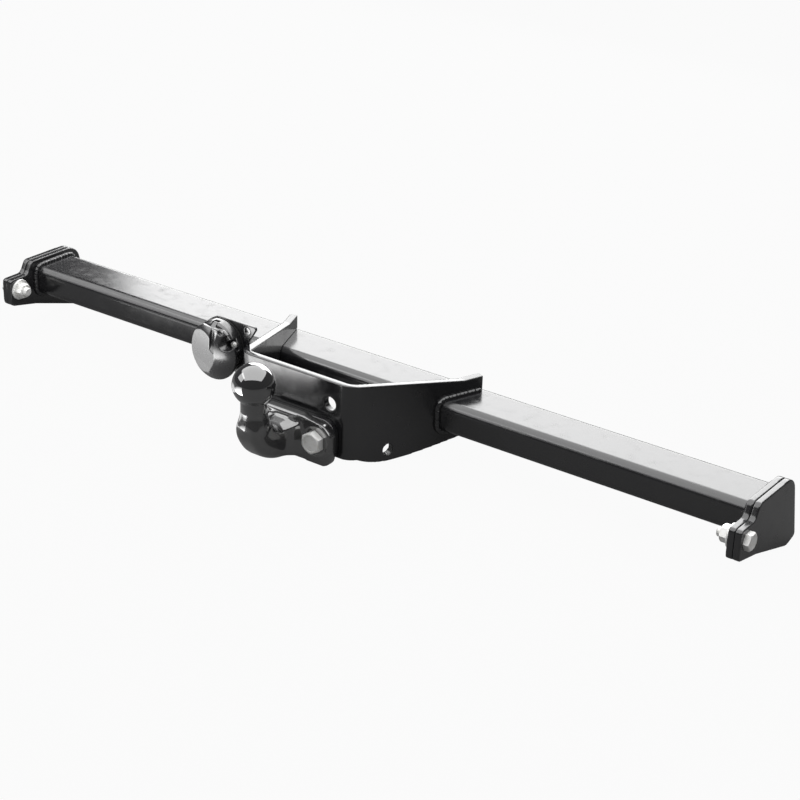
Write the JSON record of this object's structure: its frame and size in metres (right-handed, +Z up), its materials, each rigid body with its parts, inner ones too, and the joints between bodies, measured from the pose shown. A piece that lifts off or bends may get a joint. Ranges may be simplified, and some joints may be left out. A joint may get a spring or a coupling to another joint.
{
  "type": "trailer hitch",
  "caption": "Fixed flange-ball tow bar: cross beam between chassis brackets, bent centre bracket, swan-neck ball and a trailer socket with a sprung lid.",
  "frame": {"origin": "centre of the tow ball", "axes": "+X along the cross beam (the right-hand end seen from behind the vehicle), +Y towards the vehicle, +Z up"},
  "size_m": [1.119, 0.3104, 0.1557],
  "materials": {
    "powder_coat": "semi-gloss black powder coat",
    "weld_coat": "black powder coat over rippled weld beads",
    "ball_coat": "glossy black coat over a forging",
    "zinc": "bright zinc plating",
    "socket_plastic": "glossy moulded black plastic",
    "insert_plastic": "matte moulded plastic",
    "contact_brass": "machined brass",
    "seal_rubber": "matte black rubber"
  },
  "bodies": {
    "bar": {"ball_bolts": "zinc", "ball_nuts": "zinc", "ball_washers": "zinc", "bracket_welds": "weld_coat", "cable_boot": "seal_rubber", "centre_bracket": "powder_coat", "contact_insert": "insert_plastic", "contact_sleeves": "contact_brass", "cross_beam": "powder_coat", "end_bolts": "zinc", "end_nuts": "zinc", "end_washers": "zinc", "end_welds": "weld_coat", "hinge_pin": "zinc", "left_chassis_bracket": "powder_coat", "left_end_plate": "powder_coat", "plate_weld": "weld_coat", "right_chassis_bracket": "powder_coat", "right_end_plate": "powder_coat", "socket_gasket": "seal_rubber", "socket_housing": "socket_plastic", "socket_nuts": "zinc", "socket_plate": "powder_coat", "socket_screws": "zinc", "spacer_plate": "powder_coat", "tow_ball": "ball_coat"},
    "lid": {"socket_lid": "socket_plastic", "lid_seal": "seal_rubber"}
  },
  "joints": [
    {"name": "lid_hinge", "type": "hinge", "parent": "bar", "child": "lid", "pos_m": [-0.1323, 0.0875, 0.0087], "axis": [-1, 0, 0], "range_deg": [0, 110], "stiffness_Nm_per_rad": 0.06, "springref_deg": -45.84}
  ]
}
